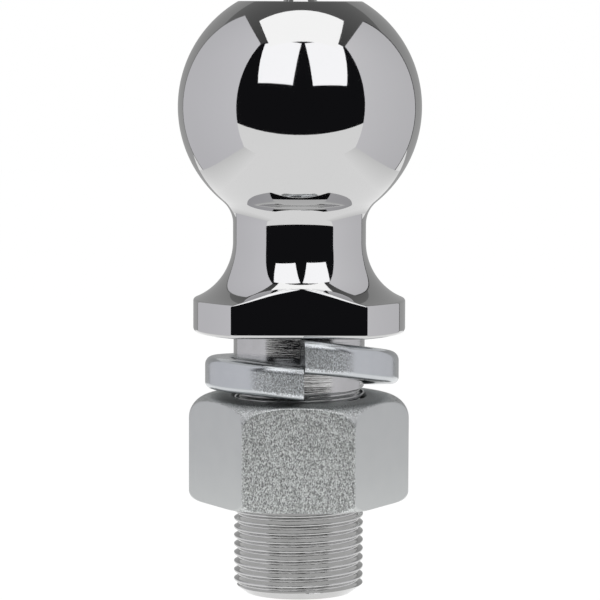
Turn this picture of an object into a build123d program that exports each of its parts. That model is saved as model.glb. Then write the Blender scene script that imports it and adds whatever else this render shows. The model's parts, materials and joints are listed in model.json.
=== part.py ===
"""Trailer hitch ball: a one-piece ball stud, its split spring washer and its hexagon nut.

Millimetres. Z runs up the shank's axis and z = 0 is the underside of the collar. The wrench
flats of the collar face -Y (the front) and +Y, and so do two flats of the nut. The nut is
run up finger tight, so the washer is loose between the collar and the nut.
"""

import math
import os

from build123d import *

# Ball and neck
BALL_DIAMETER = 58.74  # a 2-5/16 in towing ball
TOP_FLAT_DIAMETER = 29.8
TOP_FLAT_ROUND = 0.6
TOP_PIP_DIAMETER = 8.4  # the turning centre's low boss
TOP_PIP_HEIGHT = 0.35
NECK_DIAMETER = 32.1
NECK_STRAIGHT = 4.28  # the neck's length between its two hollows
BALL_FILLET = 7.0  # hollow between the ball and the neck
FLARE_RADIUS = 14.85  # hollow between the neck and the collar

# Collar
COLLAR_DIAMETER = 51.26
COLLAR_EDGE_HEIGHT = 7.9  # where the flare meets the collar's side
COLLAR_TOP_ROUND = 0.7
COLLAR_BOTTOM_ROUND = 1.0
COLLAR_ACROSS_FLATS = 40.2

# Shank and thread
SHANK_DIAMETER = 31.75  # 1-1/4 in
SHANK_LENGTH = 63.5  # 2-1/2 in
THREADS_PER_INCH = 12
THREAD_UNDERSIZE = 0.35  # the crests lie below the plain shank
DEPTH_PER_PITCH = 0.5433
ROOT_PER_PITCH = 0.1672  # the flat at the bottom of the groove
END_CHAMFER_RADIAL = 2.75
END_CHAMFER_HEIGHT = 2.1
STEP_HEIGHT = 2.6  # from the plain shank down to the crests
RUN_OUT_TURNS = 1  # the groove fades over this much of the helix
THREAD_ABOVE_NUT = 3.65  # the thread starts this far above the nut

# Lock washer: a bar coiled the opposite way to the thread
WASHER_CLEARANCE = 1.575  # on each side of the shank, enough to hang this far off it
WASHER_BAR_WIDTH = 6.0
WASHER_BAR_HEIGHT = 7.94  # 5/16 in
WASHER_PITCH = 6.45
WASHER_GAP = 0.2  # between the two ends
WASHER_END_ANGLE = 10.0  # the ends are cut this far from square
WASHER_TOP_ROUND = 2.2  # along the outer edges
WASHER_BOTTOM_ROUND = 1.5
WASHER_INNER_ROUND = 0.6
WASHER_SIDE_SHIFT = 0.7  # how it hangs on the shank: off to the right
WASHER_FRONT_LIFT = 2.1  # and out of level, at the middle of the bar
WASHER_RIGHT_DROP = 0.94

# Nut
NUT_ACROSS_FLATS = 46.5
NUT_HEIGHT = 25.4  # 1 in
NUT_CORNER_ROUND = 1.0
NUT_TOP_CROWN = 5.5  # the rounded chamfer on the corners
NUT_BOTTOM_CROWN = 2.0
NUT_SINK_DEPTH = 1.7
THREAD_CLEARANCE = 0.1  # between the flanks, square to them
CREST_CLEARANCE = 0.23  # between a crest and the root it runs in

REST_GAP = 0.02  # between the washer and what it lies against
CUTTER_OVERHANG = 0.6  # a groove's cutter stands out of the metal by this

# Sizes that follow from the ones above
ball_radius = BALL_DIAMETER / 2
neck_radius = NECK_DIAMETER / 2
collar_radius = COLLAR_DIAMETER / 2
shank_radius = SHANK_DIAMETER / 2
thread_pitch = 25.4 / THREADS_PER_INCH
thread_depth = DEPTH_PER_PITCH * thread_pitch
root_width = ROOT_PER_PITCH * thread_pitch
crest_radius = shank_radius - THREAD_UNDERSIZE / 2
root_radius = crest_radius - thread_depth
flank_slope = math.tan(math.radians(30))
washer_inner = shank_radius + WASHER_CLEARANCE
washer_middle = washer_inner + WASHER_BAR_WIDTH / 2

TO_FRONT = -90  # a helix is drawn from +X, and this turn starts it at the front


def side_of_shank(height):
    """The plane that holds the shank's axis and the front direction, at a height."""
    return Plane(origin=(0, 0, height), x_dir=(0, -1, 0), z_dir=(1, 0, 0))


# The washer's bar, coiled true about the shank. Its ends meet at the front
end_angle = math.radians(WASHER_END_ANGLE)
coiled_part = 1 - WASHER_GAP / (2 * math.pi * washer_middle)
with BuildPart() as washer_coil:
    with BuildLine() as coil_path:
        Helix(
            pitch=WASHER_PITCH,
            height=WASHER_PITCH * coiled_part,
            radius=washer_middle,
            lefthand=True,
        )
    end_plane = Plane(
        origin=(0, -washer_middle, 0),
        x_dir=(math.sin(end_angle), -math.cos(end_angle), 0),
        z_dir=(-math.cos(end_angle), -math.sin(end_angle), 0),
    )
    with BuildSketch(end_plane) as bar:
        Rectangle(WASHER_BAR_WIDTH / math.cos(end_angle), WASHER_BAR_HEIGHT)
        fillet(bar.vertices().sort_by(Axis.X)[-2:].sort_by(Axis.Y)[-1], WASHER_TOP_ROUND)
        fillet(bar.vertices().sort_by(Axis.Y)[0:2].sort_by(Axis.X)[-1], WASHER_BOTTOM_ROUND)
        fillet(bar.vertices().sort_by(Axis.X)[0:2], WASHER_INNER_ROUND)
    sweep(path=coil_path.wire().rotate(Axis.Z, TO_FRONT), is_frenet=True)

# It hangs askew: the front is up against the collar and the back rests on the nut
lift = -WASHER_FRONT_LIFT / washer_middle
drop = -WASHER_RIGHT_DROP / washer_middle
askew = Matrix([[1, 0, 0, 0], [0, 1, 0, 0], [drop, lift, 1, 0], [0, 0, 0, 1]])
hung_coil = washer_coil.part.transform_geometry(askew)
with BuildPart() as lock_washer:
    with Locations((WASHER_SIDE_SHIFT, 0, -REST_GAP - hung_coil.bounding_box().max.Z)):
        add(hung_coil)
lock_washer.part.label = "lock_washer"

nut_top = lock_washer.part.bounding_box().min.Z - REST_GAP
thread_top = nut_top + THREAD_ABOVE_NUT

# The groove of the outside thread, with the run-out at its top
groove_outer = thread_depth + CUTTER_OVERHANG
groove_mouth = root_width + 2 * groove_outer * flank_slope
run_out_height = RUN_OUT_TURNS * thread_pitch
run_out_start = thread_top - root_width - run_out_height
groove_turns = math.ceil((run_out_start + SHANK_LENGTH) / thread_pitch + 0.6)
groove_start = run_out_start - groove_turns * thread_pitch
run_out_slope = math.degrees(math.atan(thread_depth / run_out_height))

with BuildPart() as thread_groove:
    with BuildLine() as groove_path:
        Helix(
            pitch=thread_pitch,
            height=groove_turns * thread_pitch,
            radius=root_radius,
            center=(0, 0, groove_start),
        )
    with BuildSketch(side_of_shank(groove_start)) as groove_section:
        with BuildLine():
            Polyline(
                (root_radius, -root_width / 2),
                (root_radius + groove_outer, -groove_mouth / 2),
                (root_radius + groove_outer, groove_mouth / 2),
                (root_radius, root_width / 2),
                close=True,
            )
        make_face()
    sweep(path=groove_path.wire().rotate(Axis.Z, TO_FRONT), is_frenet=True)

with BuildPart() as thread_run_out:
    with BuildLine() as run_out_path:
        Helix(
            pitch=thread_pitch,
            height=run_out_height,
            radius=root_radius,
            center=(0, 0, run_out_start),
            cone_angle=run_out_slope,
        )
    with BuildSketch(side_of_shank(run_out_start)) as run_out_section:
        with BuildLine():
            Polyline(
                (root_radius, -root_width / 2),
                (root_radius + groove_outer, -groove_mouth / 2),
                (root_radius + groove_outer, groove_mouth / 2),
                (root_radius, root_width / 2),
                close=True,
            )
        make_face()
    sweep(path=run_out_path.wire().rotate(Axis.Z, TO_FRONT), is_frenet=True)

# The ball stud's half outline, turned about the shank's axis. It is set out from the collar up
flare_reach = neck_radius + FLARE_RADIUS - collar_radius
flare_start = COLLAR_EDGE_HEIGHT + math.sqrt(FLARE_RADIUS**2 - flare_reach**2)
flare_centre = (neck_radius + FLARE_RADIUS, flare_start)
flare_end_angle = math.atan2(COLLAR_EDGE_HEIGHT - flare_start, -flare_reach)
flare_middle_angle = math.pi + (flare_end_angle + math.pi) / 2
flare_middle = (
    flare_centre[0] + FLARE_RADIUS * math.cos(flare_middle_angle),
    flare_centre[1] + FLARE_RADIUS * math.sin(flare_middle_angle),
)
fillet_centre = (neck_radius + BALL_FILLET, flare_start + NECK_STRAIGHT)
fillet_drop = math.sqrt((ball_radius + BALL_FILLET) ** 2 - fillet_centre[0] ** 2)
ball_centre_height = fillet_centre[1] + fillet_drop
fillet_share = ball_radius / (ball_radius + BALL_FILLET)
ball_end = (
    fillet_centre[0] * fillet_share,
    ball_centre_height - fillet_drop * fillet_share,
)
fillet_middle_angle = math.pi - math.atan2(fillet_drop, fillet_centre[0]) / 2
fillet_middle = (
    fillet_centre[0] + BALL_FILLET * math.cos(fillet_middle_angle),
    fillet_centre[1] + BALL_FILLET * math.sin(fillet_middle_angle),
)
top_flat_radius = TOP_FLAT_DIAMETER / 2
top_flat_height = ball_centre_height + math.sqrt(ball_radius**2 - top_flat_radius**2)
pip_radius = TOP_PIP_DIAMETER / 2
end_radius = crest_radius - END_CHAMFER_RADIAL
chamfer_top = END_CHAMFER_HEIGHT - SHANK_LENGTH
bar_end = -SHANK_LENGTH - 3 * thread_pitch  # the blank is threaded first and then cut to length
plain_end = thread_top + STEP_HEIGHT

with BuildPart() as ball_stud:
    with BuildSketch(Plane.XZ) as outline:
        with BuildLine():
            Polyline(
                (0, bar_end),
                (crest_radius, bar_end),
                (crest_radius, thread_top),
                (shank_radius, plain_end),
                (shank_radius, 0),
                (collar_radius, 0),
                (collar_radius, COLLAR_EDGE_HEIGHT),
            )
            ThreePointArc(
                (collar_radius, COLLAR_EDGE_HEIGHT), flare_middle, (neck_radius, flare_start)
            )
            Line((neck_radius, flare_start), (neck_radius, fillet_centre[1]))
            ThreePointArc((neck_radius, fillet_centre[1]), fillet_middle, ball_end)
            ThreePointArc(
                ball_end, (ball_radius, ball_centre_height), (top_flat_radius, top_flat_height)
            )
            Polyline(
                (top_flat_radius, top_flat_height),
                (pip_radius, top_flat_height),
                (pip_radius - TOP_PIP_HEIGHT, top_flat_height + TOP_PIP_HEIGHT),
                (0, top_flat_height + TOP_PIP_HEIGHT),
                (0, bar_end),
            )
        make_face()
        rim = outline.vertices().sort_by_distance((top_flat_radius, top_flat_height))[0]
        fillet(rim, TOP_FLAT_ROUND)
        rim = outline.vertices().sort_by_distance((collar_radius, COLLAR_EDGE_HEIGHT))[0]
        fillet(rim, COLLAR_TOP_ROUND)
        rim = outline.vertices().sort_by_distance((collar_radius, 0))[0]
        fillet(rim, COLLAR_BOTTOM_ROUND)
    revolve(axis=Axis.Z)
    # the two wrench flats cut the collar and the foot of the flare
    with Locations(
        (0, COLLAR_ACROSS_FLATS / 2, 0),
        (0, -COLLAR_ACROSS_FLATS / 2 - collar_radius, 0),
    ):
        Box(
            2 * COLLAR_DIAMETER,
            collar_radius,
            flare_start,
            align=(Align.CENTER, Align.MIN, Align.MIN),
            mode=Mode.SUBTRACT,
        )
    add(thread_groove.part, mode=Mode.SUBTRACT)
    add(thread_run_out.part, mode=Mode.SUBTRACT)
    # cutting to length and chamfering the end
    with BuildSketch(Plane.XZ) as cut_off:
        with BuildLine():
            Polyline(
                (0, -SHANK_LENGTH),
                (end_radius, -SHANK_LENGTH),
                (crest_radius, chamfer_top),
                (collar_radius, chamfer_top),
                (collar_radius, bar_end - 1),
                (0, bar_end - 1),
                close=True,
            )
        make_face()
    revolve(axis=Axis.Z, mode=Mode.SUBTRACT)
ball_stud.part.label = "ball_stud"

# The groove of the nut's thread runs where the stud's ridges are
flank_room = THREAD_CLEARANCE / math.cos(math.radians(30))
nut_root_radius = crest_radius + CREST_CLEARANCE
nut_bore_radius = root_radius + CREST_CLEARANCE
stud_mouth = root_width + 2 * thread_depth * flank_slope
crest_width = thread_pitch - stud_mouth
nut_root_width = crest_width + 2 * (flank_room - CREST_CLEARANCE * flank_slope)
nut_groove_depth = nut_root_radius - nut_bore_radius + CUTTER_OVERHANG
nut_groove_mouth = nut_root_width + 2 * nut_groove_depth * flank_slope
nut_bottom = nut_top - NUT_HEIGHT
nut_groove_turns = math.ceil(NUT_HEIGHT / thread_pitch) + 2
turns_below = math.ceil((run_out_start - nut_bottom) / thread_pitch + 1)
nut_groove_start = run_out_start + thread_pitch / 2 - turns_below * thread_pitch

with BuildPart() as nut_groove:
    with BuildLine() as nut_groove_path:
        Helix(
            pitch=thread_pitch,
            height=nut_groove_turns * thread_pitch,
            radius=nut_root_radius,
            center=(0, 0, nut_groove_start),
        )
    with BuildSketch(side_of_shank(nut_groove_start)) as nut_groove_section:
        with BuildLine():
            Polyline(
                (nut_root_radius, -nut_root_width / 2),
                (nut_root_radius - nut_groove_depth, -nut_groove_mouth / 2),
                (nut_root_radius - nut_groove_depth, nut_groove_mouth / 2),
                (nut_root_radius, nut_root_width / 2),
                close=True,
            )
        make_face()
    sweep(path=nut_groove_path.wire().rotate(Axis.Z, TO_FRONT), is_frenet=True)

# The solid that rounds the hexagon's corners off at both ends
nut_corner_radius = (
    NUT_ACROSS_FLATS / 2 - NUT_CORNER_ROUND
) / math.cos(math.radians(30)) + NUT_CORNER_ROUND
top_face_radius = nut_corner_radius - NUT_TOP_CROWN
top_bulge = NUT_TOP_CROWN * math.sqrt(0.5)
bottom_face_radius = nut_corner_radius - NUT_BOTTOM_CROWN
bottom_bulge = NUT_BOTTOM_CROWN * math.sqrt(0.5)
with BuildPart() as nut_crown:
    with BuildSketch(Plane.XZ) as crown_outline:
        with BuildLine():
            Polyline(
                (0, nut_top),
                (0, nut_bottom),
                (bottom_face_radius, nut_bottom),
            )
            ThreePointArc(
                (bottom_face_radius, nut_bottom),
                (bottom_face_radius + bottom_bulge, nut_bottom + NUT_BOTTOM_CROWN - bottom_bulge),
                (nut_corner_radius, nut_bottom + NUT_BOTTOM_CROWN),
            )
            Line(
                (nut_corner_radius, nut_bottom + NUT_BOTTOM_CROWN),
                (nut_corner_radius, nut_top - NUT_TOP_CROWN),
            )
            ThreePointArc(
                (nut_corner_radius, nut_top - NUT_TOP_CROWN),
                (top_face_radius + top_bulge, nut_top - NUT_TOP_CROWN + top_bulge),
                (top_face_radius, nut_top),
            )
            Line((top_face_radius, nut_top), (0, nut_top))
        make_face()
    revolve(axis=Axis.Z)

nut_sink_radius = nut_bore_radius + NUT_SINK_DEPTH
with BuildPart() as hex_nut:
    with BuildSketch(Plane.XY.offset(nut_bottom)) as hexagon:
        RegularPolygon(NUT_ACROSS_FLATS / 2, 6, major_radius=False)
        fillet(hexagon.vertices(), NUT_CORNER_ROUND)
    extrude(amount=NUT_HEIGHT)
    add(nut_crown.part, mode=Mode.INTERSECT)
    with Locations((0, 0, nut_bottom)):
        Cylinder(
            nut_bore_radius,
            NUT_HEIGHT,
            align=(Align.CENTER, Align.CENTER, Align.MIN),
            mode=Mode.SUBTRACT,
        )
        Cone(
            nut_sink_radius,
            nut_bore_radius,
            NUT_SINK_DEPTH,
            align=(Align.CENTER, Align.CENTER, Align.MIN),
            mode=Mode.SUBTRACT,
        )
    with Locations((0, 0, nut_top)):
        Cone(
            nut_bore_radius,
            nut_sink_radius,
            NUT_SINK_DEPTH,
            align=(Align.CENTER, Align.CENTER, Align.MAX),
            mode=Mode.SUBTRACT,
        )
    add(nut_groove.part, mode=Mode.SUBTRACT)
hex_nut.part.label = "hex_nut"

os.makedirs("parts", exist_ok=True)
export_step(ball_stud.part, "parts/ball_stud.step")
export_step(lock_washer.part, "parts/lock_washer.step")
export_step(hex_nut.part, "parts/hex_nut.step")
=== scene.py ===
"""Trailer hitch ball with its lock washer and nut, dressed and lit for a studio picture.

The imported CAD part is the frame. Each of its three nodes is stood for by a finer mesh worked
out from the same sizes, which rides on the node's body, so the nut and washer still run down
the thread together. Everything is in metres in the row frame: z = 0 is the collar's underside.
"""

import json
import logging
import math
from collections.abc import Callable, Sequence
from dataclasses import dataclass, field
from enum import Enum

import bpy
import numpy as np
from mathutils import Matrix, Vector


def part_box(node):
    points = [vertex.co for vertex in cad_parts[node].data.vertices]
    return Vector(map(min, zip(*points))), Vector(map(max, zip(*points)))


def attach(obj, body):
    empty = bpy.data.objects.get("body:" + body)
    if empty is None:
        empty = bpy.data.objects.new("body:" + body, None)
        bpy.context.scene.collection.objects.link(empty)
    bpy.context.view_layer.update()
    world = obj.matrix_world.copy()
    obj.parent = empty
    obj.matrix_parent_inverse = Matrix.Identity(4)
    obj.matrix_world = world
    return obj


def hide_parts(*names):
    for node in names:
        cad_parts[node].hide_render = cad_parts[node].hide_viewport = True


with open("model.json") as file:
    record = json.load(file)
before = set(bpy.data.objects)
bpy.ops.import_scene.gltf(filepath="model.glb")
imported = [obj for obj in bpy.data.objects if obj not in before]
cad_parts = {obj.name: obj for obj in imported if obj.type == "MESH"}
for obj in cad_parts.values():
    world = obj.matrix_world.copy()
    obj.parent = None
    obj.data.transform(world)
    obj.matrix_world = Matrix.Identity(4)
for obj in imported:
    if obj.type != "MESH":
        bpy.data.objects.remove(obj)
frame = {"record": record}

log = logging.getLogger("hitch_ball")
logging.basicConfig(level=logging.INFO, format="%(name)s: %(message)s")

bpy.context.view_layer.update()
MM = 0.001
TURN = 2 * math.pi
FRONT = -math.pi / 2  # the azimuth that the wrench flat and the washer's split face
CORNER_POINTS = 9  # points round each corner of the washer's bar
THREAD_ABOVE_NUT = 3.65 * MM  # the thread shows this far above the nut
ROOT_PER_PITCH = 0.1672  # the width of the groove's root, as a share of the pitch

Tree = bpy.types.NodeTree
Socket = bpy.types.NodeSocket
Surface = Callable[[np.ndarray, np.ndarray], np.ndarray]


class Slot(Enum):
    """The record's material slots."""

    CHROME = "chrome"
    ZINC_WASHER = "zinc_washer"
    ZINC_NUT = "zinc_nut"


class Facing(Enum):
    """Which faces get the crystal relief and the painted glitter: least and full share of y,
    then of z.
    """

    NOWHERE = ((2.0, 3.0), (2.0, 3.0))
    FRONT_AND_BACK = ((0.84, 0.93), (2.0, 3.0))
    FLATS_AND_ENDS = ((0.70, 0.92), (0.35, 0.75))


class Shading(Enum):
    """How a mesh gets its normals."""

    EXACT = "exact"
    BY_ANGLE = "by angle"


# ---------------------------------------------------------------- colours and nodes


def linear(hex_colour: str) -> tuple[float, float, float, float]:
    """Turns an sRGB hex colour into the linear colour that a shader takes.

    Args:
        hex_colour: six hex digits with a leading #.
    Returns:
        Linear red, green, blue and an alpha of 1.
    """
    parts = [int(hex_colour[i : i + 2], 16) / 255 for i in (1, 3, 5)]
    made = [p / 12.92 if p <= 0.04045 else ((p + 0.055) / 1.055) ** 2.4 for p in parts]
    return (*made, 1.0)


def add_node(
    tree: Tree,
    kind: str,
    settings: dict[str | int, object] | None = None,
    links: dict[str | int, Socket] | None = None,
) -> bpy.types.Node:
    """Adds one shader node with its settings and its incoming links.

    Args:
        tree: the node tree.
        kind: the node's type name.
        settings: attribute or input name to value.
        links: input name to the output socket that feeds it.
    Returns:
        The node.
    """
    node = tree.nodes.new(kind)
    for key, value in (settings or {}).items():
        if isinstance(key, str) and hasattr(node, key):
            setattr(node, key, value)
        else:
            node.inputs[key].default_value = value
    for key, socket in (links or {}).items():
        tree.links.new(socket, node.inputs[key])
    return node


# ---------------------------------------------------------------- meshes


class MeshMaker:
    """Gathers sheets of quads, each with exact normals, into one welded mesh."""

    def __init__(self, name: str) -> None:
        """Starts an empty mesh.

        Args:
            name: the name of the object to be.
        """
        self.name = name
        self.points: list[np.ndarray] = []
        self.count = 0
        self.faces: list[tuple[int, ...]] = []
        self.normals: list[np.ndarray] = []

    def place(self, points: np.ndarray) -> np.ndarray:
        """Adds points.

        Args:
            points: rows of x, y, z.
        Returns:
            Their numbers in the mesh.
        """
        self.points.append(points)
        numbers = np.arange(self.count, self.count + len(points))
        self.count += len(points)
        return numbers

    def faces_between(self, ids: np.ndarray, normals: np.ndarray | None) -> None:
        """Adds the quads of a grid of point numbers, leaving out what has no area.

        Args:
            ids: point numbers, rows by columns.
            normals: a normal for each grid point, or None.
        """
        corners = np.stack([ids[:-1, :-1], ids[:-1, 1:], ids[1:, 1:], ids[1:, :-1]], -1)
        corners = corners.reshape(-1, 4)
        if normals is None:
            shading = np.zeros((len(corners), 4, 3))
        else:
            shading = np.stack(
                [normals[:-1, :-1], normals[:-1, 1:], normals[1:, 1:], normals[1:, :-1]], -2
            ).reshape(-1, 4, 3)
        for quad, four in zip(corners.tolist(), shading):
            kept = [i for i in range(4) if quad[i] != quad[i - 1]]
            if len({quad[i] for i in kept}) >= 3:
                self.faces.append(tuple(quad[i] for i in kept))
                self.normals.append(four[kept])

    def sheet(
        self,
        points: np.ndarray,
        normals: np.ndarray,
        closed: bool = True,
        first: np.ndarray | None = None,
        last: np.ndarray | None = None,
    ) -> tuple[np.ndarray, np.ndarray]:
        """Adds a grid of quads whose faces look the way its normals do.

        Args:
            points: rows by columns by 3.
            normals: the same, unit length.
            closed: whether the last column joins the first.
            first: point numbers that its first row shares with an earlier sheet.
            last: the same for its last row.
        Returns:
            The point numbers of its first and last rows.
        """
        rows, columns = points.shape[:2]
        ids = np.empty((rows, columns), int)
        for r in range(rows):
            shared = first if r == 0 else last if r == rows - 1 else None
            if shared is not None:
                ids[r] = shared
            elif np.ptp(points[r], axis=0).max() < 1e-9:
                ids[r] = self.place(points[r, :1])[0]
            else:
                ids[r] = self.place(points[r])
        if closed:
            wrap = np.r_[np.arange(columns), 0]
            full_ids, full_points, full_normals = ids[:, wrap], points[:, wrap], normals[:, wrap]
        else:
            full_ids, full_points, full_normals = ids, points, normals
        across = full_points[:-1, 1:] - full_points[:-1, :-1]
        down = full_points[1:, :-1] - full_points[:-1, :-1]
        looks = np.cross(across, down)
        if (looks * full_normals[:-1, :-1]).sum() < 0:
            full_ids, full_normals = full_ids[:, ::-1], full_normals[:, ::-1]
        self.faces_between(full_ids, full_normals)
        return ids[0], ids[-1]

    def cap(self, ring: np.ndarray, normal: Sequence[float], clockwise: bool) -> None:
        """Closes a ring with one flat face.

        Args:
            ring: point numbers in order.
            normal: the way the face looks.
            clockwise: whether the ring runs clockwise seen from the side it looks to.
        """
        order = ring[::-1] if clockwise else ring
        self.faces.append(tuple(int(i) for i in order))
        self.normals.append(np.tile(np.array(normal, float), (len(ring), 1)))

    def build(self, shading: Shading, sharp_over: float = 50.0) -> bpy.types.Object:
        """Makes the object.

        Args:
            shading: where its normals come from.
            sharp_over: the angle in degrees past which an edge is sharp, by angle only.
        Returns:
            The new object, in the scene.
        """
        points = np.concatenate(self.points)
        used = sorted({number for face in self.faces for number in face})
        renumbered = {number: place for place, number in enumerate(used)}
        faces = [tuple(renumbered[number] for number in face) for face in self.faces]
        mesh = bpy.data.meshes.new(self.name)
        mesh.from_pydata(points[used].tolist(), [], faces)
        mesh.shade_smooth()
        if shading is Shading.EXACT:
            mesh.normals_split_custom_set(np.concatenate(self.normals).tolist())
        else:
            mesh.set_sharp_from_angle(angle=math.radians(sharp_over))
        made = bpy.data.objects.new(self.name, mesh)
        bpy.context.scene.collection.objects.link(made)
        log.info("%s: %d points, %d faces", self.name, len(mesh.vertices), len(mesh.polygons))
        return made


def sampled(
    surface: Surface, down: np.ndarray, across: np.ndarray
) -> tuple[np.ndarray, np.ndarray]:
    """Points and exact normals of a surface on a grid.

    Args:
        surface: gives points from two arrays of parameters.
        down: the parameter of each row.
        across: the parameter of each column.
    Returns:
        Points and unit normals, each rows by columns by 3.
    """
    u, v = np.meshgrid(down, across, indexing="ij")
    step = 1e-5
    along_u = surface(u + step, v) - surface(u - step, v)
    along_v = surface(u, v + step) - surface(u, v - step)
    normals = np.cross(along_u, along_v)
    lengths = np.linalg.norm(normals, axis=-1, keepdims=True)
    up = np.zeros_like(normals)
    up[..., 2] = np.sign(along_v.sum() + 1.0)
    normals = np.where(lengths > 1e-22, normals / np.maximum(lengths, 1e-22), up)
    return surface(u, v), normals


@dataclass(frozen=True)
class Arc:
    """A piece of an outline on a circle: r and z from a share of its length."""

    centre: tuple[float, float]
    radius: float
    start: float
    end: float
    rows: int

    def at(self, share: np.ndarray) -> tuple[np.ndarray, np.ndarray]:
        """Gives the outline's r and z.

        Args:
            share: shares of this piece's length.
        Returns:
            The radii and the heights.
        """
        angle = self.start + (self.end - self.start) * share
        r = self.centre[0] + self.radius * np.cos(angle)
        return r, self.centre[1] + self.radius * np.sin(angle)


@dataclass(frozen=True)
class Line:
    """A straight piece of an outline."""

    start: tuple[float, float]
    end: tuple[float, float]
    rows: int

    def at(self, share: np.ndarray) -> tuple[np.ndarray, np.ndarray]:
        """Gives the outline's r and z at shares of this piece."""
        r = self.start[0] + (self.end[0] - self.start[0]) * share
        return r, self.start[1] + (self.end[1] - self.start[1]) * share


def soft_min(a: np.ndarray, b: np.ndarray, width: float) -> np.ndarray:
    """The smaller of two lengths, with the corner between them rounded over a width."""
    h = np.clip(0.5 + 0.5 * (b - a) / width, 0, 1)
    return b + (a - b) * h - width * h * (1 - h)


def turned(r: np.ndarray, z: np.ndarray, azimuth: np.ndarray) -> np.ndarray:
    """Points at a radius and height round the axis."""
    return np.stack([r * np.cos(azimuth), r * np.sin(azimuth), z + 0 * azimuth], -1)


# ---------------------------------------------------------------- finishes


@dataclass(frozen=True)
class Finish:
    """A metal surface: its colour, its polish and the fine relief that breaks up reflections."""

    name: str
    colour: str
    dark_colour: str
    roughness: float
    roughness_spread: float
    grain_mm: float
    grain_height_mm: float
    cloud_mm: float
    streak_mm: float = 0.0
    streak_height_mm: float = 0.0
    streak_stretch: float = 1.0
    # painted glitter: how far the colour is painted brighter and darker in specks
    painted_glitter: float = 0.0
    sparkle_mm: float = 0.3
    sparkle_relief: float = 0.12
    sparkle_roughness: float = 0.0
    sparkle_on: Facing = Facing.NOWHERE

    def material(self) -> bpy.types.Material:
        """Builds the material.

        Returns:
            A metal whose clouding and relief are sized from real millimetres.
        """
        made = bpy.data.materials.new(self.name)
        made.use_nodes = True
        tree = made.node_tree
        tree.nodes.clear()
        place = add_node(tree, "ShaderNodeTexCoord").outputs["Object"]
        cloud = add_node(
            tree,
            "ShaderNodeTexNoise",
            {"Scale": 1 / (self.cloud_mm * MM), "Detail": 4.0, "Roughness": 0.6},
            {"Vector": place},
        ).outputs["Fac"]
        grain = add_node(
            tree,
            "ShaderNodeTexNoise",
            {"Scale": 1 / (self.grain_mm * MM), "Detail": 3.0, "Roughness": 0.65},
            {"Vector": place},
        ).outputs["Fac"]
        colour = add_node(
            tree,
            "ShaderNodeMix",
            {"data_type": "RGBA", 6: linear(self.dark_colour), 7: linear(self.colour)},
            {0: cloud},
        ).outputs[2]
        rough = add_node(
            tree,
            "ShaderNodeMapRange",
            {
                "From Min": 0.3,
                "From Max": 0.7,
                "To Min": max(self.roughness - self.roughness_spread, 0.0),
                "To Max": self.roughness + self.roughness_spread,
            },
            {"Value": cloud},
        ).outputs["Result"]
        relief = add_node(
            tree,
            "ShaderNodeBump",
            {"Strength": 1.0, "Distance": self.grain_height_mm * MM},
            {"Height": grain},
        ).outputs["Normal"]
        if self.streak_mm:
            relief = self.streaks(tree, place, relief)
        if self.painted_glitter:
            colour, rough, relief = self.crystals_and_painted_glitter(tree, place, colour, rough, relief)
        shader = add_node(
            tree,
            "ShaderNodeBsdfPrincipled",
            {"Metallic": 1.0},
            {"Base Color": colour, "Roughness": rough, "Normal": relief},
        ).outputs["BSDF"]
        add_node(tree, "ShaderNodeOutputMaterial", {}, {"Surface": shader})
        return made

    def crystals_and_painted_glitter(
        self, tree: Tree, place: Socket, colour: Socket, rough: Socket, relief: Socket
    ) -> tuple[Socket, Socket, Socket]:
        """Breaks a face up into crystal relief and painted glitter, drawn out a little along the
        axis:
        bright and dark specks painted into the colour, standing in for mirrored light and dark.

        Args:
            tree: the node tree.
            place: the object coordinates.
            colour: the colour so far.
            rough: the roughness so far.
            relief: the normal so far.
        Returns:
            The colour, the roughness and the normal with the crystal relief and the painted
            glitter added.
        """
        facing = add_node(
            tree,
            "ShaderNodeSeparateXYZ",
            {},
            {"Vector": add_node(tree, "ShaderNodeTexCoord").outputs["Normal"]},
        )
        shares = []
        for axis, (least, full) in zip("YZ", self.sparkle_on.value):
            size = add_node(
                tree, "ShaderNodeMath", {"operation": "ABSOLUTE"}, {0: facing.outputs[axis]}
            ).outputs[0]
            shares.append(
                add_node(
                    tree,
                    "ShaderNodeMapRange",
                    {"interpolation_type": "SMOOTHSTEP", "From Min": least, "From Max": full},
                    {"Value": size},
                ).outputs["Result"]
            )
        share = add_node(
            tree, "ShaderNodeMath", {"operation": "MAXIMUM"}, {0: shares[0], 1: shares[1]}
        ).outputs[0]
        drawn = add_node(
            tree, "ShaderNodeMapping", {"Scale": (1.0, 1.0, 0.6)}, {"Vector": place}
        ).outputs["Vector"]
        fine = add_node(
            tree,
            "ShaderNodeTexNoise",
            {"Scale": 1 / (self.sparkle_mm * MM), "Detail": 3.0, "Roughness": 0.8},
            {"Vector": drawn},
        ).outputs["Fac"]
        # painted glitter: the colour is painted brighter and darker in specks, on the masked
        # faces only, standing in for the light and dark that the grain mirrors
        painted_glitter_tone = add_node(
            tree,
            "ShaderNodeMapRange",
            {
                "From Min": 0.40,
                "From Max": 0.60,
                "To Min": 1 - self.painted_glitter,
                "To Max": 1 + self.painted_glitter,
            },
            {"Value": fine},
        ).outputs["Result"]
        painted_glitter_colour = add_node(
            tree, "ShaderNodeVectorMath", {"operation": "SCALE"}, {0: colour, "Scale": painted_glitter_tone}
        ).outputs["Vector"]
        colour = add_node(
            tree, "ShaderNodeMix", {"data_type": "RGBA"}, {0: share, 6: colour, 7: painted_glitter_colour}
        ).outputs[2]
        relief = add_node(
            tree,
            "ShaderNodeBump",
            {"Distance": self.sparkle_mm * self.sparkle_relief * MM},
            {"Height": fine, "Normal": relief, "Strength": share},
        ).outputs["Normal"]
        rough = add_node(
            tree,
            "ShaderNodeMath",
            {"operation": "MULTIPLY_ADD", 1: self.sparkle_roughness},
            {0: share, 2: rough},
        ).outputs[0]
        return colour, rough, relief

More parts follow.
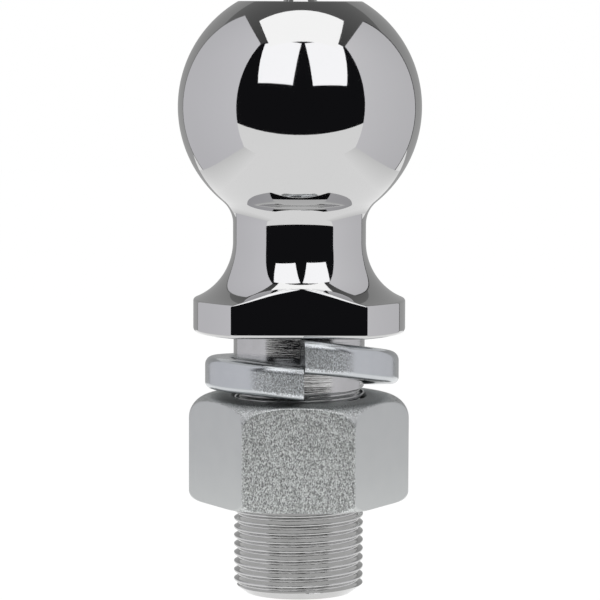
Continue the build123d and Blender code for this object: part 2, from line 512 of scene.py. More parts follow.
    def streaks(self, tree: Tree, place: Socket, relief: Socket) -> Socket:
        """Adds the fine rings that a lathe leaves, running round the axis.

        Args:
            tree: the node tree.
            place: the object coordinates.
            relief: the normal so far.
        Returns:
            The normal with the rings added.
        """
        stretched = add_node(
            tree,
            "ShaderNodeMapping",
            {"Scale": (1 / self.streak_stretch, 1 / self.streak_stretch, 1.0)},
            {"Vector": place},
        ).outputs["Vector"]
        rings = add_node(
            tree,
            "ShaderNodeTexNoise",
            {"Scale": 1 / (self.streak_mm * MM), "Detail": 3.0, "Roughness": 0.7},
            {"Vector": stretched},
        ).outputs["Fac"]
        return add_node(
            tree,
            "ShaderNodeBump",
            {"Strength": 1.0, "Distance": self.streak_height_mm * MM},
            {"Height": rings, "Normal": relief},
        ).outputs["Normal"]


# Bright chrome over a polished forging: a nearly perfect mirror, so the studio's black and
# white fields lie on it with crisp edges, wavering a little where the polish wavers
CHROME = Finish(
    name="bright_chrome_plate",
    colour="#cfcfcf",
    dark_colour="#cccccc",
    roughness=0.035,
    roughness_spread=0.015,
    grain_mm=0.9,
    grain_height_mm=0.0012,
    cloud_mm=14.0,
)

# The same chrome over lathe-turned steel: the rings stay visible through the plate and draw
# each reflection out into thin streaks along the turning
TURNED_CHROME = Finish(
    name="chrome_on_turned_steel",
    colour="#d0d0d0",
    dark_colour="#bbbbba",
    roughness=0.10,
    roughness_spread=0.05,
    grain_mm=0.5,
    grain_height_mm=0.004,
    cloud_mm=5.0,
    streak_mm=0.30,
    streak_height_mm=0.030,
    streak_stretch=30.0,
)

# Clear zinc plate on coiled spring steel: satin and cool grey, with a crystal relief and a
# painted glitter of bright and dark colour specks on the front and back only, where it mirrors
# the dark
ZINC_WASHER = Finish(
    name="clear_zinc_on_spring_steel",
    colour="#cdd0d2",
    dark_colour="#c1c5c8",
    roughness=0.20,
    roughness_spread=0.05,
    grain_mm=0.6,
    grain_height_mm=0.004,
    cloud_mm=3.0,
    painted_glitter=0.60,
    sparkle_mm=0.24,
    sparkle_relief=0.26,
    sparkle_roughness=0.14,
    sparkle_on=Facing.FRONT_AND_BACK,
)

# Clear zinc plate on a cold-formed nut: a crystalline grain in the relief, with painted glitter
# of bright and dark colour specks on the flats facing the open side and on the ends, and quiet
# on the others
ZINC_NUT = Finish(
    name="clear_zinc_on_formed_steel",
    colour="#cbcdcc",
    dark_colour="#c1c4c3",
    roughness=0.34,
    roughness_spread=0.05,
    grain_mm=0.6,
    grain_height_mm=0.006,
    cloud_mm=5.0,
    painted_glitter=0.66,
    sparkle_mm=0.26,
    sparkle_relief=0.45,
    sparkle_roughness=0.0,
    sparkle_on=Facing.FLATS_AND_ENDS,
)


# ---------------------------------------------------------------- the ball stud


@dataclass(frozen=True)
class StudSizes:
    """The stud's sizes in metres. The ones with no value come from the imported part."""

    ball_radius: float
    top_height: float
    shank_radius: float
    plain_length: float
    thread_pitch: float
    end_height: float
    pip_height: float = 0.35 * MM
    pip_radius: float = 4.2 * MM
    top_flat_radius: float = 14.9 * MM
    top_round: float = 0.6 * MM
    neck_radius: float = 16.05 * MM
    ball_fillet: float = 7.0 * MM
    flare_radius: float = 14.85 * MM
    collar_radius: float = 25.63 * MM
    collar_edge: float = 7.9 * MM
    collar_top_round: float = 0.7 * MM
    collar_bottom_round: float = 1.0 * MM
    flat_from_axis: float = 20.1 * MM
    flat_edge_round: float = 0.5 * MM
    crest_radius: float = 15.70 * MM
    thread_depth: float = 1.15 * MM
    root_width: float = 0.354 * MM
    chamfer_radial: float = 2.75 * MM
    chamfer_height: float = 2.1 * MM
    taper_height: float = 2.6 * MM
    run_out_turns: float = 1.0
    flat_top: float = 16.0 * MM
    shank_into_collar: float = 0.6 * MM


class BallStud:
    """The forged and chromed stud: ball, neck, collar, plain shank and thread."""

    def __init__(self, sizes: StudSizes, phase_height: float) -> None:
        """Keeps the sizes.

        Args:
            sizes: the stud's sizes.
            phase_height: a height at which the thread's groove passes the front.
        """
        self.s = sizes
        self.phase_height = phase_height

    def azimuths(self) -> np.ndarray:
        """Places the columns round the axis, close together across both wrench flats.

        Returns:
            The azimuth of each column.
        """
        fine, coarse = math.radians(0.5), math.radians(2.0)
        half = math.radians(43)
        near = np.arange(-half, half - 1e-9, fine)
        far = np.arange(half, math.pi - half - 1e-9, coarse)
        one_side = np.concatenate([near, far])
        return FRONT + np.concatenate([one_side, one_side + math.pi])

    def outline(self) -> list[Arc | Line]:
        """Sets out half of the turned outline.

        Returns:
            Its pieces, from the top of the ball down to the collar's underside.
        """
        s = self.s
        flare_reach = s.neck_radius + s.flare_radius - s.collar_radius
        flare_start = s.collar_edge + math.sqrt(s.flare_radius**2 - flare_reach**2)
        flare_centre = (s.neck_radius + s.flare_radius, flare_start)
        top = s.top_height - s.pip_height
        centre_z = top - math.sqrt(s.ball_radius**2 - s.top_flat_radius**2)
        fillet_r = s.neck_radius + s.ball_fillet
        fillet_z = centre_z - math.sqrt((s.ball_radius + s.ball_fillet) ** 2 - fillet_r**2)
        meet = math.atan2(fillet_z - centre_z, fillet_r)
        rim_z = top - s.top_round
        rim_r = math.sqrt((s.ball_radius - s.top_round) ** 2 - (rim_z - centre_z) ** 2)
        rim_angle = math.atan2(rim_z - centre_z, rim_r)
        edge_r = s.collar_radius - s.collar_top_round
        outer = s.flare_radius + s.collar_top_round
        edge_z = flare_start - math.sqrt(outer**2 - (flare_centre[0] - edge_r) ** 2)
        edge_angle = math.atan2(flare_start - edge_z, flare_centre[0] - edge_r)
        foot = s.collar_bottom_round
        return [
            Line((0.0, s.top_height), (s.pip_radius - s.pip_height, s.top_height), 3),
            Line((s.pip_radius - s.pip_height, s.top_height), (s.pip_radius, top), 3),
            Line((s.pip_radius, top), (rim_r, top), 8),
            Arc((rim_r, rim_z), s.top_round, math.pi / 2, rim_angle, 8),
            Arc((0.0, centre_z), s.ball_radius, rim_angle, meet, 84),
            Arc((fillet_r, fillet_z), s.ball_fillet, math.pi + meet, math.pi, 12),
            Line((s.neck_radius, fillet_z), (s.neck_radius, flare_start), 4),
            Arc(flare_centre, s.flare_radius, math.pi, math.pi + edge_angle, 62),
            Arc((edge_r, edge_z), s.collar_top_round, edge_angle, 0.0, 6),
            Line((s.collar_radius, edge_z), (s.collar_radius, foot), 8),
            Arc((s.collar_radius - foot, foot), foot, 0.0, -math.pi / 2, 9),
        ]

    def trimmed(self, r: np.ndarray, z: np.ndarray, azimuth: np.ndarray) -> np.ndarray:
        """Cuts the two wrench flats into the turned shape, with rounded edges.

        Args:
            r: the radii of the turned shape.
            z: the heights.
            azimuth: the azimuths.
        Returns:
            Points on the trimmed shape.
        """
        s = self.s
        foot = s.collar_bottom_round
        below = np.clip(foot - z, 0, foot)
        depth = s.flat_from_axis - (foot - np.sqrt(np.maximum(foot**2 - below**2, 0)))
        facing = np.maximum(np.abs(np.sin(azimuth)), 1e-3)
        out_of_reach = 1.0
        flat = np.where(z < s.flat_top, depth / facing, out_of_reach)
        return turned(soft_min(r, flat, s.flat_edge_round), z, azimuth)

    def surface_of(self, piece: Arc | Line) -> Surface:
        """Gives the surface that a piece of the outline makes, turned and trimmed.

        Args:
            piece: the piece of the outline.
        Returns:
            A function from shares of the piece and azimuths to points.
        """

        def surface(share: np.ndarray, azimuth: np.ndarray) -> np.ndarray:
            """Gives points on the surface."""
            return self.trimmed(*piece.at(share), azimuth)

        return surface

    def build_body(self) -> bpy.types.Object:
        """Makes the ball, the neck and the collar, closed at the underside's hole.

        Returns:
            The body.
        """
        s = self.s
        maker = MeshMaker("ball_neck_collar")
        azimuths = self.azimuths()
        ring = None
        for number, piece in enumerate(self.outline()):
            points, normals = sampled(
                self.surface_of(piece), np.linspace(0, 1, piece.rows), azimuths
            )
            if number == 0:  # the pip's flat top, which comes to a point on the axis
                normals[...] = (0, 0, 1)
            _, ring = maker.sheet(points, normals, first=ring)
        rim = np.concatenate(maker.points)[ring]
        inner = turned(np.full(len(azimuths), s.shank_radius), np.zeros(1), azimuths)
        shares = np.linspace(0, 1, 4)[:, None, None]
        points = rim[None] + (inner - rim)[None] * shares
        points[..., 2] = 0
        down = np.zeros_like(points)
        down[..., 2] = -1
        _, ring = maker.sheet(points, down, first=ring)
        maker.cap(ring, (0, 0, -1), True)
        return maker.build(Shading.EXACT)

    def profile(self) -> tuple[np.ndarray, np.ndarray]:
        """One pitch of the thread, from crest to crest.

        Returns:
            Heights from the groove's middle, and how far each lies below the crest, for a
            groove of full depth. The same points serve a shallower one.
        """
        s = self.s
        slope = math.tan(math.radians(30))
        mouth = s.root_width / 2 + s.thread_depth * slope
        crest = s.thread_pitch / 2
        edge, soft = 0.07 * MM, 0.13 * MM  # how far the crest's and the root's corners are eased
        half = [
            (0.0, s.thread_depth),
            (s.root_width / 2 - soft * 0.3, s.thread_depth),
            (s.root_width / 2 + soft * 0.12, s.thread_depth - soft * 0.45),
            (s.root_width / 2 + soft * 0.6, s.thread_depth - soft * 1.05),
        ]
        for share in (0.35, 0.62, 0.88):
            depth = s.thread_depth * (1 - share)
            half.append((mouth - depth * slope, depth))
        half += [
            (mouth + edge * 0.1, edge * 0.42),
            (mouth + edge * 0.9, 0.0),
            (crest, 0.0),
        ]
        up = np.array(half)
        z = np.concatenate([-up[::-1, 0], up[1:, 0]])
        return z, np.concatenate([up[::-1, 1], up[1:, 1]])

    def build_shank(self) -> bpy.types.Object:
        """Makes the plain shank and the thread below it, with its run-out and end chamfer.

        Returns:
            The shank.
        """
        s = self.s
        steps = 180
        profile_z, profile_depth = self.profile()
        last = len(profile_z) - 1
        crest_top = -s.plain_length - s.taper_height
        run_start = self.phase_height
        turns_down = math.ceil((run_start - s.end_height) / s.thread_pitch + 1)
        turns = turns_down + 3
        t = np.arange(turns * steps + 1)
        angle = t / steps * TURN
        climb = run_start - turns_down * s.thread_pitch + angle / TURN * s.thread_pitch
        fade = np.clip((angle / TURN - turns_down) / s.run_out_turns, 0, 1)
        z = climb[:, None] + profile_z[None, :]
        depth = np.maximum(profile_depth[None, :] - fade[:, None] * s.thread_depth, 0)
        r = s.crest_radius - depth
        end_radius = s.crest_radius - s.chamfer_radial
        cone = end_radius + (z - s.end_height) * s.chamfer_radial / s.chamfer_height
        r = np.minimum(r, np.maximum(cone, end_radius))
        azimuth = FRONT + angle

        maker = MeshMaker("shank_and_thread")
        ring_azimuth = FRONT + np.arange(steps) / steps * TURN
        top_ring = maker.place(
            turned(np.full(steps, s.crest_radius), np.full(steps, crest_top), ring_azimuth)
        )
        end_ring = maker.place(
            turned(np.full(steps, end_radius), np.full(steps, s.end_height), ring_azimuth)
        )
        ids = np.full((len(t), last + 1), -1)
        for column in range(last):
            ids[:, column] = maker.place(turned(r[:, column], z[:, column], azimuth))
        ids[: len(t) - steps, last] = ids[steps:, 0]
        ids[len(t) - steps :, last] = maker.place(
            turned(r[-steps:, last], z[-steps:, last], azimuth[-steps:])
        )
        column_ring = (t % steps)[:, None] + np.zeros((1, last + 1), int)
        ids = np.where(z >= crest_top, top_ring[column_ring], ids)
        ids = np.where(z <= s.end_height, end_ring[column_ring], ids)
        maker.faces_between(ids[:, ::-1], None)
        maker.cap(end_ring, (0, 0, -1), True)
        plain_rows = (1.0, 0.92, 0.66, 0.33)  # shares of the plain length, from its lower end
        rows = [(s.crest_radius, crest_top)]
        rows += [(s.shank_radius, -s.plain_length * share) for share in plain_rows]
        rows += [(s.shank_radius, 0.0), (s.shank_radius, s.shank_into_collar)]
        points = np.stack(
            [turned(np.full(steps, a), np.full(steps, b), ring_azimuth) for a, b in rows]
        )
        normals = points * (1, 1, 0)
        _, top = maker.sheet(points, normals, first=top_ring)
        maker.cap(top, (0, 0, 1), False)
        return maker.build(Shading.BY_ANGLE)

    def build(self) -> list[bpy.types.Object]:
        """Makes and dresses both pieces.

        Returns:
            The body and the shank, riding on the stud.
        """
        body, shank = self.build_body(), self.build_shank()
        body.data.materials.append(CHROME.material())
        shank.data.materials.append(TURNED_CHROME.material())
        for piece in (body, shank):
            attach(piece, "ball_stud")
            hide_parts("ball_stud")
        return [body, shank]


# ---------------------------------------------------------------- the lock washer


@dataclass(frozen=True)
class WasherSizes:
    """The washer's sizes in metres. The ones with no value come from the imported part."""

    top_height: float
    side_shift: float
    outer_radius: float = 23.45 * MM
    bar_width: float = 6.0 * MM
    bar_height: float = 7.94 * MM
    pitch: float = 6.45 * MM
    gap: float = 0.2 * MM
    end_angle: float = math.radians(10)
    top_round: float = 2.2 * MM
    bottom_round: float = 1.5 * MM
    inner_round: float = 0.6 * MM
    front_lift: float = 2.1 * MM
    right_drop: float = 0.94 * MM


class LockWasher:
    """The split spring washer: one turn of rectangular bar, hanging askew on the shank."""

    def __init__(self, sizes: WasherSizes) -> None:
        """Keeps the sizes."""
        self.s = sizes

    def section(self) -> np.ndarray:
        """Sets out the bar's section.

        Returns:
            Rows of distance out from the bar's middle and height, in order.
        """
        s = self.s
        half_w, half_h = s.bar_width / 2, s.bar_height / 2
        corners = [
            (half_w, half_h, s.top_round, 0.0),
            (-half_w, half_h, s.inner_round, math.pi / 2),
            (-half_w, -half_h, s.inner_round, math.pi),
            (half_w, -half_h, s.bottom_round, 1.5 * math.pi),
        ]
        made = []
        for x, y, radius, start in corners:
            cx, cy = x - math.copysign(radius, x), y - math.copysign(radius, y)
            for step in range(CORNER_POINTS):
                angle = start + step / (CORNER_POINTS - 1) * math.pi / 2
                made.append((cx + radius * math.cos(angle), cy + radius * math.sin(angle)))
        return np.array(made)

    def coil(self, share: np.ndarray, out: np.ndarray, up: np.ndarray) -> np.ndarray:
        """Points of the bar.

        Args:
            share: how far along the bar, 0 at the lower end and 1 at the upper.
            out: distance out from the bar's middle line, along its slanted end.
            up: height above the middle line.
        Returns:
            Points in the washer's own height.
        """
        s = self.s
        middle = s.outer_radius - s.bar_width / 2
        span = TURN * (1 - s.gap / (TURN * middle))
        lean = out * math.tan(s.end_angle)
        radius = np.hypot(middle + out, lean)
        azimuth = FRONT - span * share + np.arctan2(lean, middle + out)
        x, y = radius * np.cos(azimuth), radius * np.sin(azimuth)
        rise = s.pitch * span / TURN * share
        tilt = (-s.front_lift * y - s.right_drop * x) / middle
        return np.stack([x, y, rise + up + tilt], -1)

    def build(self) -> bpy.types.Object:
        """Makes and dresses the washer.

        Returns:
            The washer, riding on its body.
        """
        s = self.s
        outline = self.section()
        count = len(outline)
        wrap = np.r_[np.arange(count), 0]
        shares = np.linspace(0, 1, 361)
        share, index = np.meshgrid(shares, np.arange(count), indexing="ij")
        out, up = outline[index, 0], outline[index, 1]
        points = self.coil(share, out, up)
        step = 1e-5
        along = self.coil(share + step, out, up) - self.coil(share - step, out, up)
        tangent = self.edge_directions(outline)[index] * 1e-7
        side = self.coil(share, out + tangent[..., 0], up + tangent[..., 1]) - self.coil(
            share, out - tangent[..., 0], up - tangent[..., 1]
        )
        normals = np.cross(side, along)
        normals /= np.linalg.norm(normals, axis=-1, keepdims=True)
        middle = self.coil(share, 0 * out, 0 * up)
        if ((points - middle) * normals).sum() < 0:
            normals = -normals
        points[..., 2] += s.top_height - points[..., 2].max()
        points[..., 0] += s.side_shift
        maker = MeshMaker("spring_washer")
        ids = maker.place(points.reshape(-1, 3)).reshape(points.shape[:2])
        full, shading = ids[:, wrap], normals[:, wrap]
        looks = np.cross(points[0, 1] - points[0, 0], points[1, 0] - points[0, 0])
        if looks @ normals[0, 0] < 0:
            full, shading = full[:, ::-1], shading[:, ::-1]
        maker.faces_between(full, shading)
        ahead = points[1, 0] - points[0, 0]
        for ring, sign in ((ids[0], -1), (ids[-1], 1)):
            at = points.reshape(-1, 3)[ring]
            normal = np.cross(at[CORNER_POINTS] - at[0], at[2 * CORNER_POINTS + 2] - at[0])
            normal /= np.linalg.norm(normal)
            agrees = (normal @ ahead) * sign > 0
            look = normal if agrees else -normal
            maker.cap(ring, look, not agrees)
        washer = maker.build(Shading.EXACT)
        washer.data.materials.append(ZINC_WASHER.material())
        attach(washer, "washer")
        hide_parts("lock_washer")
        return washer

    def edge_directions(self, outline: np.ndarray) -> np.ndarray:
        """Gives the way the section runs at each of its points.

        Args:
            outline: the section's points.
        Returns:
            A unit direction for each point, out and up.
        """
        number = np.arange(len(outline))
        quarter = number // CORNER_POINTS * (math.pi / 2)
        turn = number % CORNER_POINTS / (CORNER_POINTS - 1) * math.pi / 2
        angle = quarter + turn + math.pi / 2
        return np.stack([np.cos(angle), np.sin(angle)], -1)


# ---------------------------------------------------------------- the nut


@dataclass(frozen=True)
class NutSizes:
    """The nut's sizes in metres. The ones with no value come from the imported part."""

    half_flats: float
    top_height: float
    bottom_height: float
    thread_pitch: float
    groove_radius: float = 15.93 * MM
    bore_radius: float = 14.78 * MM
    corner_round: float = 1.0 * MM
    top_crown: float = 5.5 * MM
    bottom_crown: float = 2.0 * MM
    sink_depth: float = 1.7 * MM
    edge_softness: float = 0.8 * MM
    ridge_gap: float = 0.2 * MM
    ridge_into_wall: float = 0.2 * MM


class HexNut:
    """The hexagon nut with rounded corners, crowned ends and a thread in its bore."""

    def __init__(self, sizes: NutSizes, phase_height: float) -> None:
        """Keeps the sizes.

        Args:
            sizes: the nut's sizes.
            phase_height: a height at which the stud's groove passes the front, where the
                nut's own ridge runs.
        """
        self.s = sizes
        self.phase_height = phase_height
        spread = (sizes.half_flats - sizes.corner_round) / math.cos(math.radians(30))
        self.corner_radius = spread + sizes.corner_round
        self.corner_centre = spread

    def hexagon(self, azimuth: np.ndarray) -> np.ndarray:
        """Gives the rounded hexagon's outline.

        Args:
            azimuth: the azimuths.
        Returns:
            The radius at each azimuth.
        """
        s = self.s
        sixth = math.pi / 3
        from_flat = (azimuth - FRONT + sixth / 2) % sixth - sixth / 2
        flat = s.half_flats / np.cos(from_flat)
        from_corner = sixth / 2 - np.abs(from_flat)
        across = self.corner_centre * np.sin(from_corner)
        rounded = self.corner_centre * np.cos(from_corner) + np.sqrt(
            np.maximum(s.corner_round**2 - across**2, 0)
        )
        meets = sixth / 2 - math.atan(
            (s.half_flats - s.corner_round) * math.tan(sixth / 2) / s.half_flats
        )
        return np.where(from_corner < meets, rounded, flat)

    def azimuths(self) -> np.ndarray:
        """Places the columns round the axis, close together at the corners.

        Returns:
            The azimuth of each column.
        """
        sixth = math.pi / 3
        wide = np.linspace(0, math.radians(26), 20, endpoint=False)
        tight = np.linspace(math.radians(26), math.radians(34), 24, endpoint=False)
        rest = np.linspace(math.radians(34), sixth, 20, endpoint=False)
        one = np.concatenate([wide, tight, rest])
        return FRONT + np.concatenate([one + sixth * k for k in range(6)])

    def outline(self) -> list[Arc | Line]:
        """Sets out half of the nut's outline.

        Returns:
            Its pieces, from the top's countersink out, down the side and in to the bore.
        """
        s = self.s
        corner = self.corner_radius
        top_face, bottom_face = corner - s.top_crown, corner - s.bottom_crown
        sink = s.bore_radius + s.sink_depth
        groove_drop = sink - s.groove_radius
        top, bottom = s.top_height, s.bottom_height
        quarter = math.pi / 2
        return [
            Line((s.groove_radius, top - groove_drop), (sink, top), 3),
            Line((sink, top), (top_face, top), 5),
            Arc((top_face, top - s.top_crown), s.top_crown, quarter, 0.0, 44),
            Line((corner, top - s.top_crown), (corner, bottom + s.bottom_crown), 14),
            Arc((bottom_face, bottom + s.bottom_crown), s.bottom_crown, 0.0, -quarter, 26),
            Line((bottom_face, bottom), (sink, bottom), 7),
            Line((sink, bottom), (s.groove_radius, bottom + groove_drop), 3),
            Line(
                (s.groove_radius, bottom + groove_drop), (s.groove_radius, top - groove_drop), 6
            ),
        ]

    def surface_of(self, piece: Arc | Line) -> Surface:
        """Gives the surface that a piece of the outline makes, held inside the hexagon.

        Args:
            piece: the piece of the outline.
        Returns:
            A function from shares of the piece and azimuths to points.
        """

        def surface(share: np.ndarray, azimuth: np.ndarray) -> np.ndarray:
            """Gives points on the surface, with its edge eased where it meets a flat.

            Args:
                share: shares of the piece's length.
                azimuth: the azimuths.
            Returns:
                The points.
            """
            r, z = piece.at(share)
            width = self.s.edge_softness
            if isinstance(piece, Arc):
                angle = piece.start + (piece.end - piece.start) * share
                width = width * np.abs(np.sin(angle)) + 1e-6
                return turned(soft_min(r, self.hexagon(azimuth), width), z, azimuth)
            if piece.start[1] == piece.end[1]:
                ends = [
                    soft_min(p[0] + 0 * share, self.hexagon(azimuth), width)
                    for p in (piece.start, piece.end)
                ]
                return turned(ends[0] + (ends[1] - ends[0]) * share, z, azimuth)
            return turned(np.minimum(r, self.hexagon(azimuth)), z, azimuth)

        return surface

    def add_thread(self, maker: MeshMaker) -> None:
        """Adds the ridge of the bore's thread, tapered away at both countersinks.

        Args:
            maker: the nut's mesh so far.
        """
        s = self.s
        steps = 90
        slope = math.tan(math.radians(30))
        height = s.groove_radius - s.bore_radius
        low = s.bottom_height + s.sink_depth
        high = s.top_height - s.sink_depth
        turns_down = (self.phase_height - low) / s.thread_pitch
        first = math.ceil(-turns_down * steps)
        final = math.floor((high - self.phase_height) / s.thread_pitch * steps)
        t = np.arange(first, final + 1)
        angle = t / steps * TURN
        taper = np.clip(np.minimum(t - first, final - t) / (steps / 4), 0, 1)
        root = s.thread_pitch / 2 - s.ridge_gap
        tip = root - height * slope
        z = self.phase_height + angle / TURN * s.thread_pitch
        out = s.groove_radius + s.ridge_into_wall
        crest = s.groove_radius - height * taper
        half = tip + height * (1 - taper) * slope
        rows = [(out, -root), (s.groove_radius, -root), (crest, -half)]
        rows += [(crest, half), (s.groove_radius, root), (out, root)]
        points = np.stack(
            [turned(r + 0 * angle, z + dz, FRONT + angle) for r, dz in rows], 1
        )
        ids = maker.place(points.reshape(-1, 3)).reshape(points.shape[:2])
        wrap = np.r_[np.arange(6), 0]
        shading = np.zeros((*points.shape[:2], 3))
        shading[..., 0] = -np.cos(FRONT + angle)[:, None]
        shading[..., 1] = -np.sin(FRONT + angle)[:, None]
        shading[:, 1:3, 2], shading[:, 3:5, 2] = -0.8, 0.8
        shading /= np.linalg.norm(shading, axis=-1, keepdims=True)
        maker.faces_between(ids[:, wrap][:, ::-1], shading[:, wrap][:, ::-1])
        maker.cap(ids[0], (0, 0, -1), False)
        maker.cap(ids[-1], (0, 0, 1), True)

    def build(self) -> bpy.types.Object:
        """Makes and dresses the nut.

        Returns:
            The nut, riding on its body.
        """
        maker = MeshMaker("hexagon_nut")
        azimuths = self.azimuths()
        ring = start = None
        pieces = self.outline()
        for number, piece in enumerate(pieces):
            points, normals = sampled(
                self.surface_of(piece), np.linspace(0, 1, piece.rows), azimuths
            )
            closing = start if number == len(pieces) - 1 else None
            began, ring = maker.sheet(points, normals, first=ring, last=closing)
            start = began if start is None else start
        self.add_thread(maker)
        nut = maker.build(Shading.EXACT)
        nut.data.materials.append(ZINC_NUT.material())
        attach(nut, "nut")
        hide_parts("hex_nut")
        return nut


# ---------------------------------------------------------------- the studio


@dataclass(frozen=True)
class Card:
    """A flat panel that glows evenly or with a gradient from its first side to its third."""

    name: str
    corners: tuple[tuple[float, float, float], ...]
    glow: float
    far_glow: float | None = None
    tint: str = "#ffffff"
    top_gain: float = 1.0


@dataclass(frozen=True)
class StudioSizes:
    """The light tent round the object and the camera before it, in millimetres."""

    half_width: float = 168
    wall_front: float = -109
    left_wall_back: float = 192
    right_wall_back: float = 164
    back_edge_lean: float = 34
    right_wall_top: float = 278
    seam_width: float = 10
    left_seam_glow: float = 0.2
    right_seam_glow: float = 0.08
    cove_edge: float = 105
    floor: float = -63.5
    floor_front: float = -279
    light_height: float = 325
    roof: float = 331
    roof_half_width: float = 600
    roof_front: float = -110
    backdrop: float = 300
    backdrop_half_width: float = 500
    window_distance: float = 500
    lens: float = 199.3
    camera_place: tuple[float, float, float] = (0.18, -800, 83)
    camera_down: float = math.radians(5.39)
    camera_roll: float = math.radians(0.2)


class Studio:
    """A small light tent: white floor, pale side walls, a soft light above and two in front.

    The front is open and dark, which is what the polished faces mirror as black.
    """

    def __init__(self, sizes: StudioSizes) -> None:
        """Keeps the sizes."""
        self.s = sizes

    def cards(self) -> list[Card]:
        """Places the tent's glowing panels, in millimetres.

        Returns:
            The panels.
        """
        s = self.s
        w, low, light = s.half_width, s.floor, s.light_height
        cove, edge, front, back = low + 0.5, s.cove_edge, s.wall_front, s.backdrop
        left, right, right_top = s.left_wall_back, s.right_wall_back, s.right_wall_top
        left_lean, right_lean = left - s.back_edge_lean, right - s.back_edge_lean
        seam, window = s.seam_width, -s.window_distance
        wide, far = s.roof_half_width, s.backdrop_half_width
        return [
            Card(
                "wall_left",
                ((-w, -104, light), (-w, front, low), (-w, left, low), (-w, left_lean, light)),
                glow=0.81,
                far_glow=0.67,
                tint="#faf9fe",
                top_gain=1.06,
            ),
            Card(
                "wall_right",
                ((w, -88, 284), (w, front, low), (w, right, low), (w, right_lean, right_top)),
                glow=0.81,
                far_glow=0.67,
                tint="#fbfafe",
                top_gain=1.06,
            ),
            Card(
                "seam_left",
                (
                    (-w, left, low),
                    (-w, left + seam, low),
                    (-w, left_lean + seam, light),
                    (-w, left_lean, light),
                ),
                glow=s.left_seam_glow,
            ),
            Card(
                "seam_right",
                (
                    (w, right, low),
                    (w, right + seam, low),
                    (w, right_lean + seam, right_top),
                    (w, right_lean, right_top),
                ),
                glow=s.right_seam_glow,
            ),
            Card(
                "cove_left",
                ((-w, back, cove), (-w, front, cove), (-edge, front, cove), (-edge, back, cove)),
                glow=0.80,
                far_glow=1.04,
            ),
            Card(
                "cove_right",
                ((w, front, cove), (w, back, cove), (edge, back, cove), (edge, front, cove)),
                glow=0.80,
                far_glow=1.04,
            ),
            Card(
                "light_above",
                ((-133, -146, light), (165, -135, light), (138, 52, light), (-130, 40, light)),
                glow=1.45,
            ),
            Card(
                "window_left",
                (
                    (-438, window, 320),
                    (-60, window, 252),
                    (20, window, 1021),
                    (-729, window, 1386),
                ),
                glow=1.5,
                tint="#fdfdff",
            ),
            Card(
                "window_right",
                (
                    (110, window, 249),
                    (514, window, 304),
                    (1063, window, 1618),
                    (72, window, 1026),
                ),
                glow=1.5,
                tint="#fdfdff",
            ),
            Card(
                "dark_roof",
                (
                    (-wide, s.roof_front, s.roof),
                    (wide, s.roof_front, s.roof),
                    (wide, wide, s.roof),
                    (-wide, wide, s.roof),
                ),
                glow=0.07,
                far_glow=0.26,
            ),
            Card(
                "backdrop",
                ((-far, back, low), (far, back, low), (far, back, s.roof), (-far, back, s.roof)),
                glow=0.42,
                far_glow=0.3,
            ),
        ]

    def glow_material(self, card: Card) -> bpy.types.Material:
        """A glowing surface, graded from the card's first side to its third.

        Args:
            card: the panel.
        Returns:
            Its material.
        """
        made = bpy.data.materials.new(card.name)
        made.use_nodes = True
        tree = made.node_tree
        tree.nodes.clear()
        place = add_node(tree, "ShaderNodeTexCoord").outputs["UV"]
        across = add_node(tree, "ShaderNodeSeparateXYZ", {}, {"Vector": place}).outputs
        far = card.glow if card.far_glow is None else card.far_glow
        strength = add_node(
            tree,
            "ShaderNodeMapRange",
            {"To Min": card.glow, "To Max": far},
            {"Value": across["Y"]},
        ).outputs["Result"]
        gain = add_node(
            tree,
            "ShaderNodeMapRange",
            {"To Min": card.top_gain, "To Max": 1.0},
            {"Value": across["X"]},
        ).outputs["Result"]
        strength = add_node(
            tree, "ShaderNodeMath", {"operation": "MULTIPLY"}, {0: strength, 1: gain}
        ).outputs[0]
        glow = add_node(
            tree, "ShaderNodeEmission", {"Color": linear(card.tint)}, {"Strength": strength}
        ).outputs["Emission"]
        add_node(tree, "ShaderNodeOutputMaterial", {}, {"Surface": glow})
        return made

    def panel(self, card: Card) -> bpy.types.Object:
        """Makes one panel, which lights and is mirrored but isn't seen itself.

        Args:
            card: the panel.
        Returns:
            The panel, in the scene.
        """
        mesh = bpy.data.meshes.new(card.name)
        mesh.from_pydata([Vector(c) * MM for c in card.corners], [], [(0, 1, 2, 3)])
        layer = mesh.uv_layers.new(name="card")
        for loop, uv in zip(layer.data, ((0, 0), (1, 0), (1, 1), (0, 1))):
            loop.uv = uv
        made = bpy.data.objects.new(card.name, mesh)
        bpy.context.scene.collection.objects.link(made)
        made.data.materials.append(self.glow_material(card))
        made.visible_camera = False
        return made

    def floor_panel(self) -> bpy.types.Object:
        """Makes the pale floor that the stud stands on, nearly white, with a faint shadow.

        Returns:
            The floor, in the scene.
        """
        s = self.s
        mesh = bpy.data.meshes.new("floor")
        reach, back = 1600 * MM, 1800 * MM
        front, height = s.floor_front * MM, s.floor * MM
        mesh.from_pydata(
            [
                (-reach, front, height),
                (reach, front, height),
                (reach, back, height),
                (-reach, back, height),
            ],
            [],
            [(0, 1, 2, 3)],
        )
        made = bpy.data.objects.new("floor", mesh)
        bpy.context.scene.collection.objects.link(made)
        material = bpy.data.materials.new("white_acrylic_floor")
        material.use_nodes = True
        tree = material.node_tree
        tree.nodes.clear()
        matt = add_node(
            tree, "ShaderNodeBsdfDiffuse", {"Color": linear("#3c3c3c")}
        ).outputs["BSDF"]
        glow = add_node(
            tree, "ShaderNodeEmission", {"Color": linear("#ffffff"), "Strength": 1.0}
        ).outputs["Emission"]
        both = add_node(tree, "ShaderNodeAddShader", {}, {0: matt, 1: glow}).outputs["Shader"]
        add_node(tree, "ShaderNodeOutputMaterial", {}, {"Surface": both})
        made.data.materials.append(material)
        return made

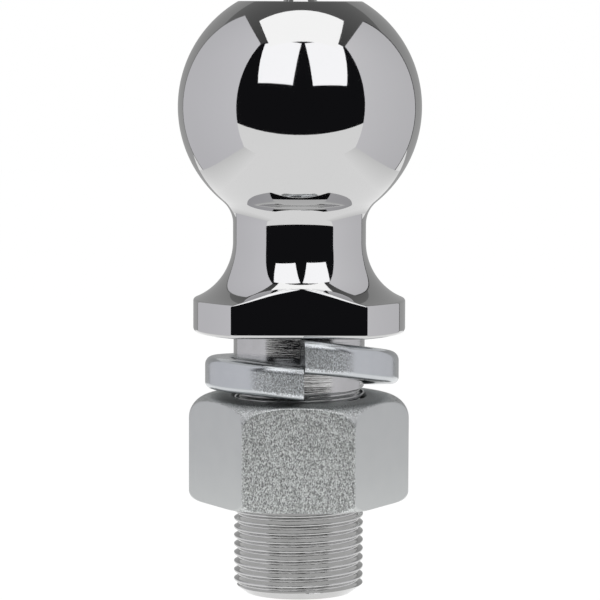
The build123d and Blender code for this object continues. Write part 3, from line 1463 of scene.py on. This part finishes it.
    def world(self) -> None:
        """Sets a white surround for the camera, and darkness wherever the tent is open."""
        world = bpy.data.worlds.new("surround")
        bpy.context.scene.world = world
        world.use_nodes = True
        tree = world.node_tree
        tree.nodes.clear()
        seen = add_node(tree, "ShaderNodeLightPath").outputs["Is Camera Ray"]
        white = add_node(
            tree, "ShaderNodeBackground", {"Color": linear("#ffffff"), "Strength": 1.0}
        ).outputs["Background"]
        dark = add_node(
            tree, "ShaderNodeBackground", {"Color": linear("#0f0f11"), "Strength": 1.6}
        ).outputs["Background"]
        mixed = add_node(tree, "ShaderNodeMixShader", {}, {0: seen, 1: dark, 2: white})
        add_node(tree, "ShaderNodeOutputWorld", {}, {"Surface": mixed.outputs["Shader"]})

    def camera(self) -> bpy.types.Object:
        """Puts a long lens in front of the object, a little above it and looking down.

        Returns:
            The camera, in the scene.
        """
        s = self.s
        data = bpy.data.cameras.new("camera")
        data.sensor_width = 36.0
        data.lens = s.lens
        data.clip_start, data.clip_end = 0.05, 20.0
        made = bpy.data.objects.new("camera", data)
        bpy.context.scene.collection.objects.link(made)
        made.location = Vector(s.camera_place) * MM
        level = math.pi / 2 - s.camera_down
        turn = Matrix.Rotation(level, 4, "X") @ Matrix.Rotation(s.camera_roll, 4, "Z")
        made.rotation_euler = turn.to_euler()
        bpy.context.scene.camera = made
        return made

    def build(self) -> None:
        """Sets up the floor, panels, surround, camera and how tones are shown."""
        self.floor_panel()
        for card in self.cards():
            self.panel(card)
        self.world()
        self.camera()
        view = bpy.context.scene.view_settings
        view.view_transform = "Standard"
        view.look = "None"


# ---------------------------------------------------------------- the whole part


@dataclass
class Assembly:
    """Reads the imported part's sizes and builds its three pieces."""

    record: dict
    pieces: list[bpy.types.Object] = field(default_factory=list)

    def mount(self, name: str) -> dict:
        """Gives a mount of the record by name."""
        return next(m for m in self.record["mounts"] if m["name"] == name)

    def build(self) -> None:
        """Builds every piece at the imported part's sizes."""
        stud_low, stud_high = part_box("ball_stud")
        nut_low, nut_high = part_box("hex_nut")
        washer_low, washer_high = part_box("lock_washer")
        coupling = self.record["behaviour"]["couplings"][0]
        pitch = coupling["ratio"] * TURN
        shank = self.mount("shank")["dims"]
        run_out = StudSizes.run_out_turns
        phase = nut_high.z + THREAD_ABOVE_NUT - (ROOT_PER_PITCH + run_out) * pitch
        stud = StudSizes(
            ball_radius=self.mount("ball")["dims"]["r_mm"] * MM,
            top_height=stud_high.z,
            shank_radius=shank["r_mm"] * MM,
            plain_length=shank["length_mm"] * MM,
            thread_pitch=pitch,
            end_height=stud_low.z,
        )
        washer = WasherSizes(
            top_height=washer_high.z,
            side_shift=(washer_low.x + washer_high.x) / 2,
        )
        nut = NutSizes(
            half_flats=(nut_high.y - nut_low.y) / 2,
            top_height=nut_high.z,
            bottom_height=nut_low.z,
            thread_pitch=pitch,
        )
        self.pieces += BallStud(stud, phase).build()
        self.pieces.append(LockWasher(washer).build())
        self.pieces.append(HexNut(nut, phase).build())


def main() -> None:
    assembly = Assembly(frame["record"])
    assembly.build()
    for piece in assembly.pieces:
        log.info("%s, in %s", piece.name, piece.data.materials[0].name)
    Studio(StudioSizes()).build()


if __name__ == "__main__":
    main()
